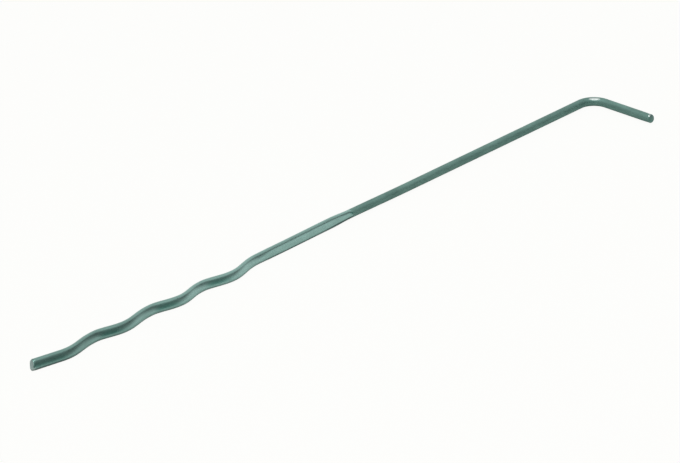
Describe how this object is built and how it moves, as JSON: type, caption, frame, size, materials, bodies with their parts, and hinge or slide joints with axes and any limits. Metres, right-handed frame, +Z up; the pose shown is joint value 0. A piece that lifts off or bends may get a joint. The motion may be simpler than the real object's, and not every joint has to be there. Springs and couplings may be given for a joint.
{
  "type": "masonry wall tie",
  "caption": "Steel wire wall tie with a right-angle leg at one end and flat-sided pressed waves at the other, to tie two leaves of masonry together across a cavity.",
  "frame": {"origin": "middle of the tie's footprint as it lies on its side, on the surface it lies on", "axes": "+X along the shank from the waved end to the bend, -Y the way the leg points, +Z up, square to the plane of the leg and the waves"},
  "size_m": [0.4004, 0.0392, 0.0052],
  "materials": {
    "wire": "matt drawn wire, burnished where the dies pressed it"
  },
  "bodies": {
    "root": {"wall_tie": "wire"}
  },
  "joints": []
}
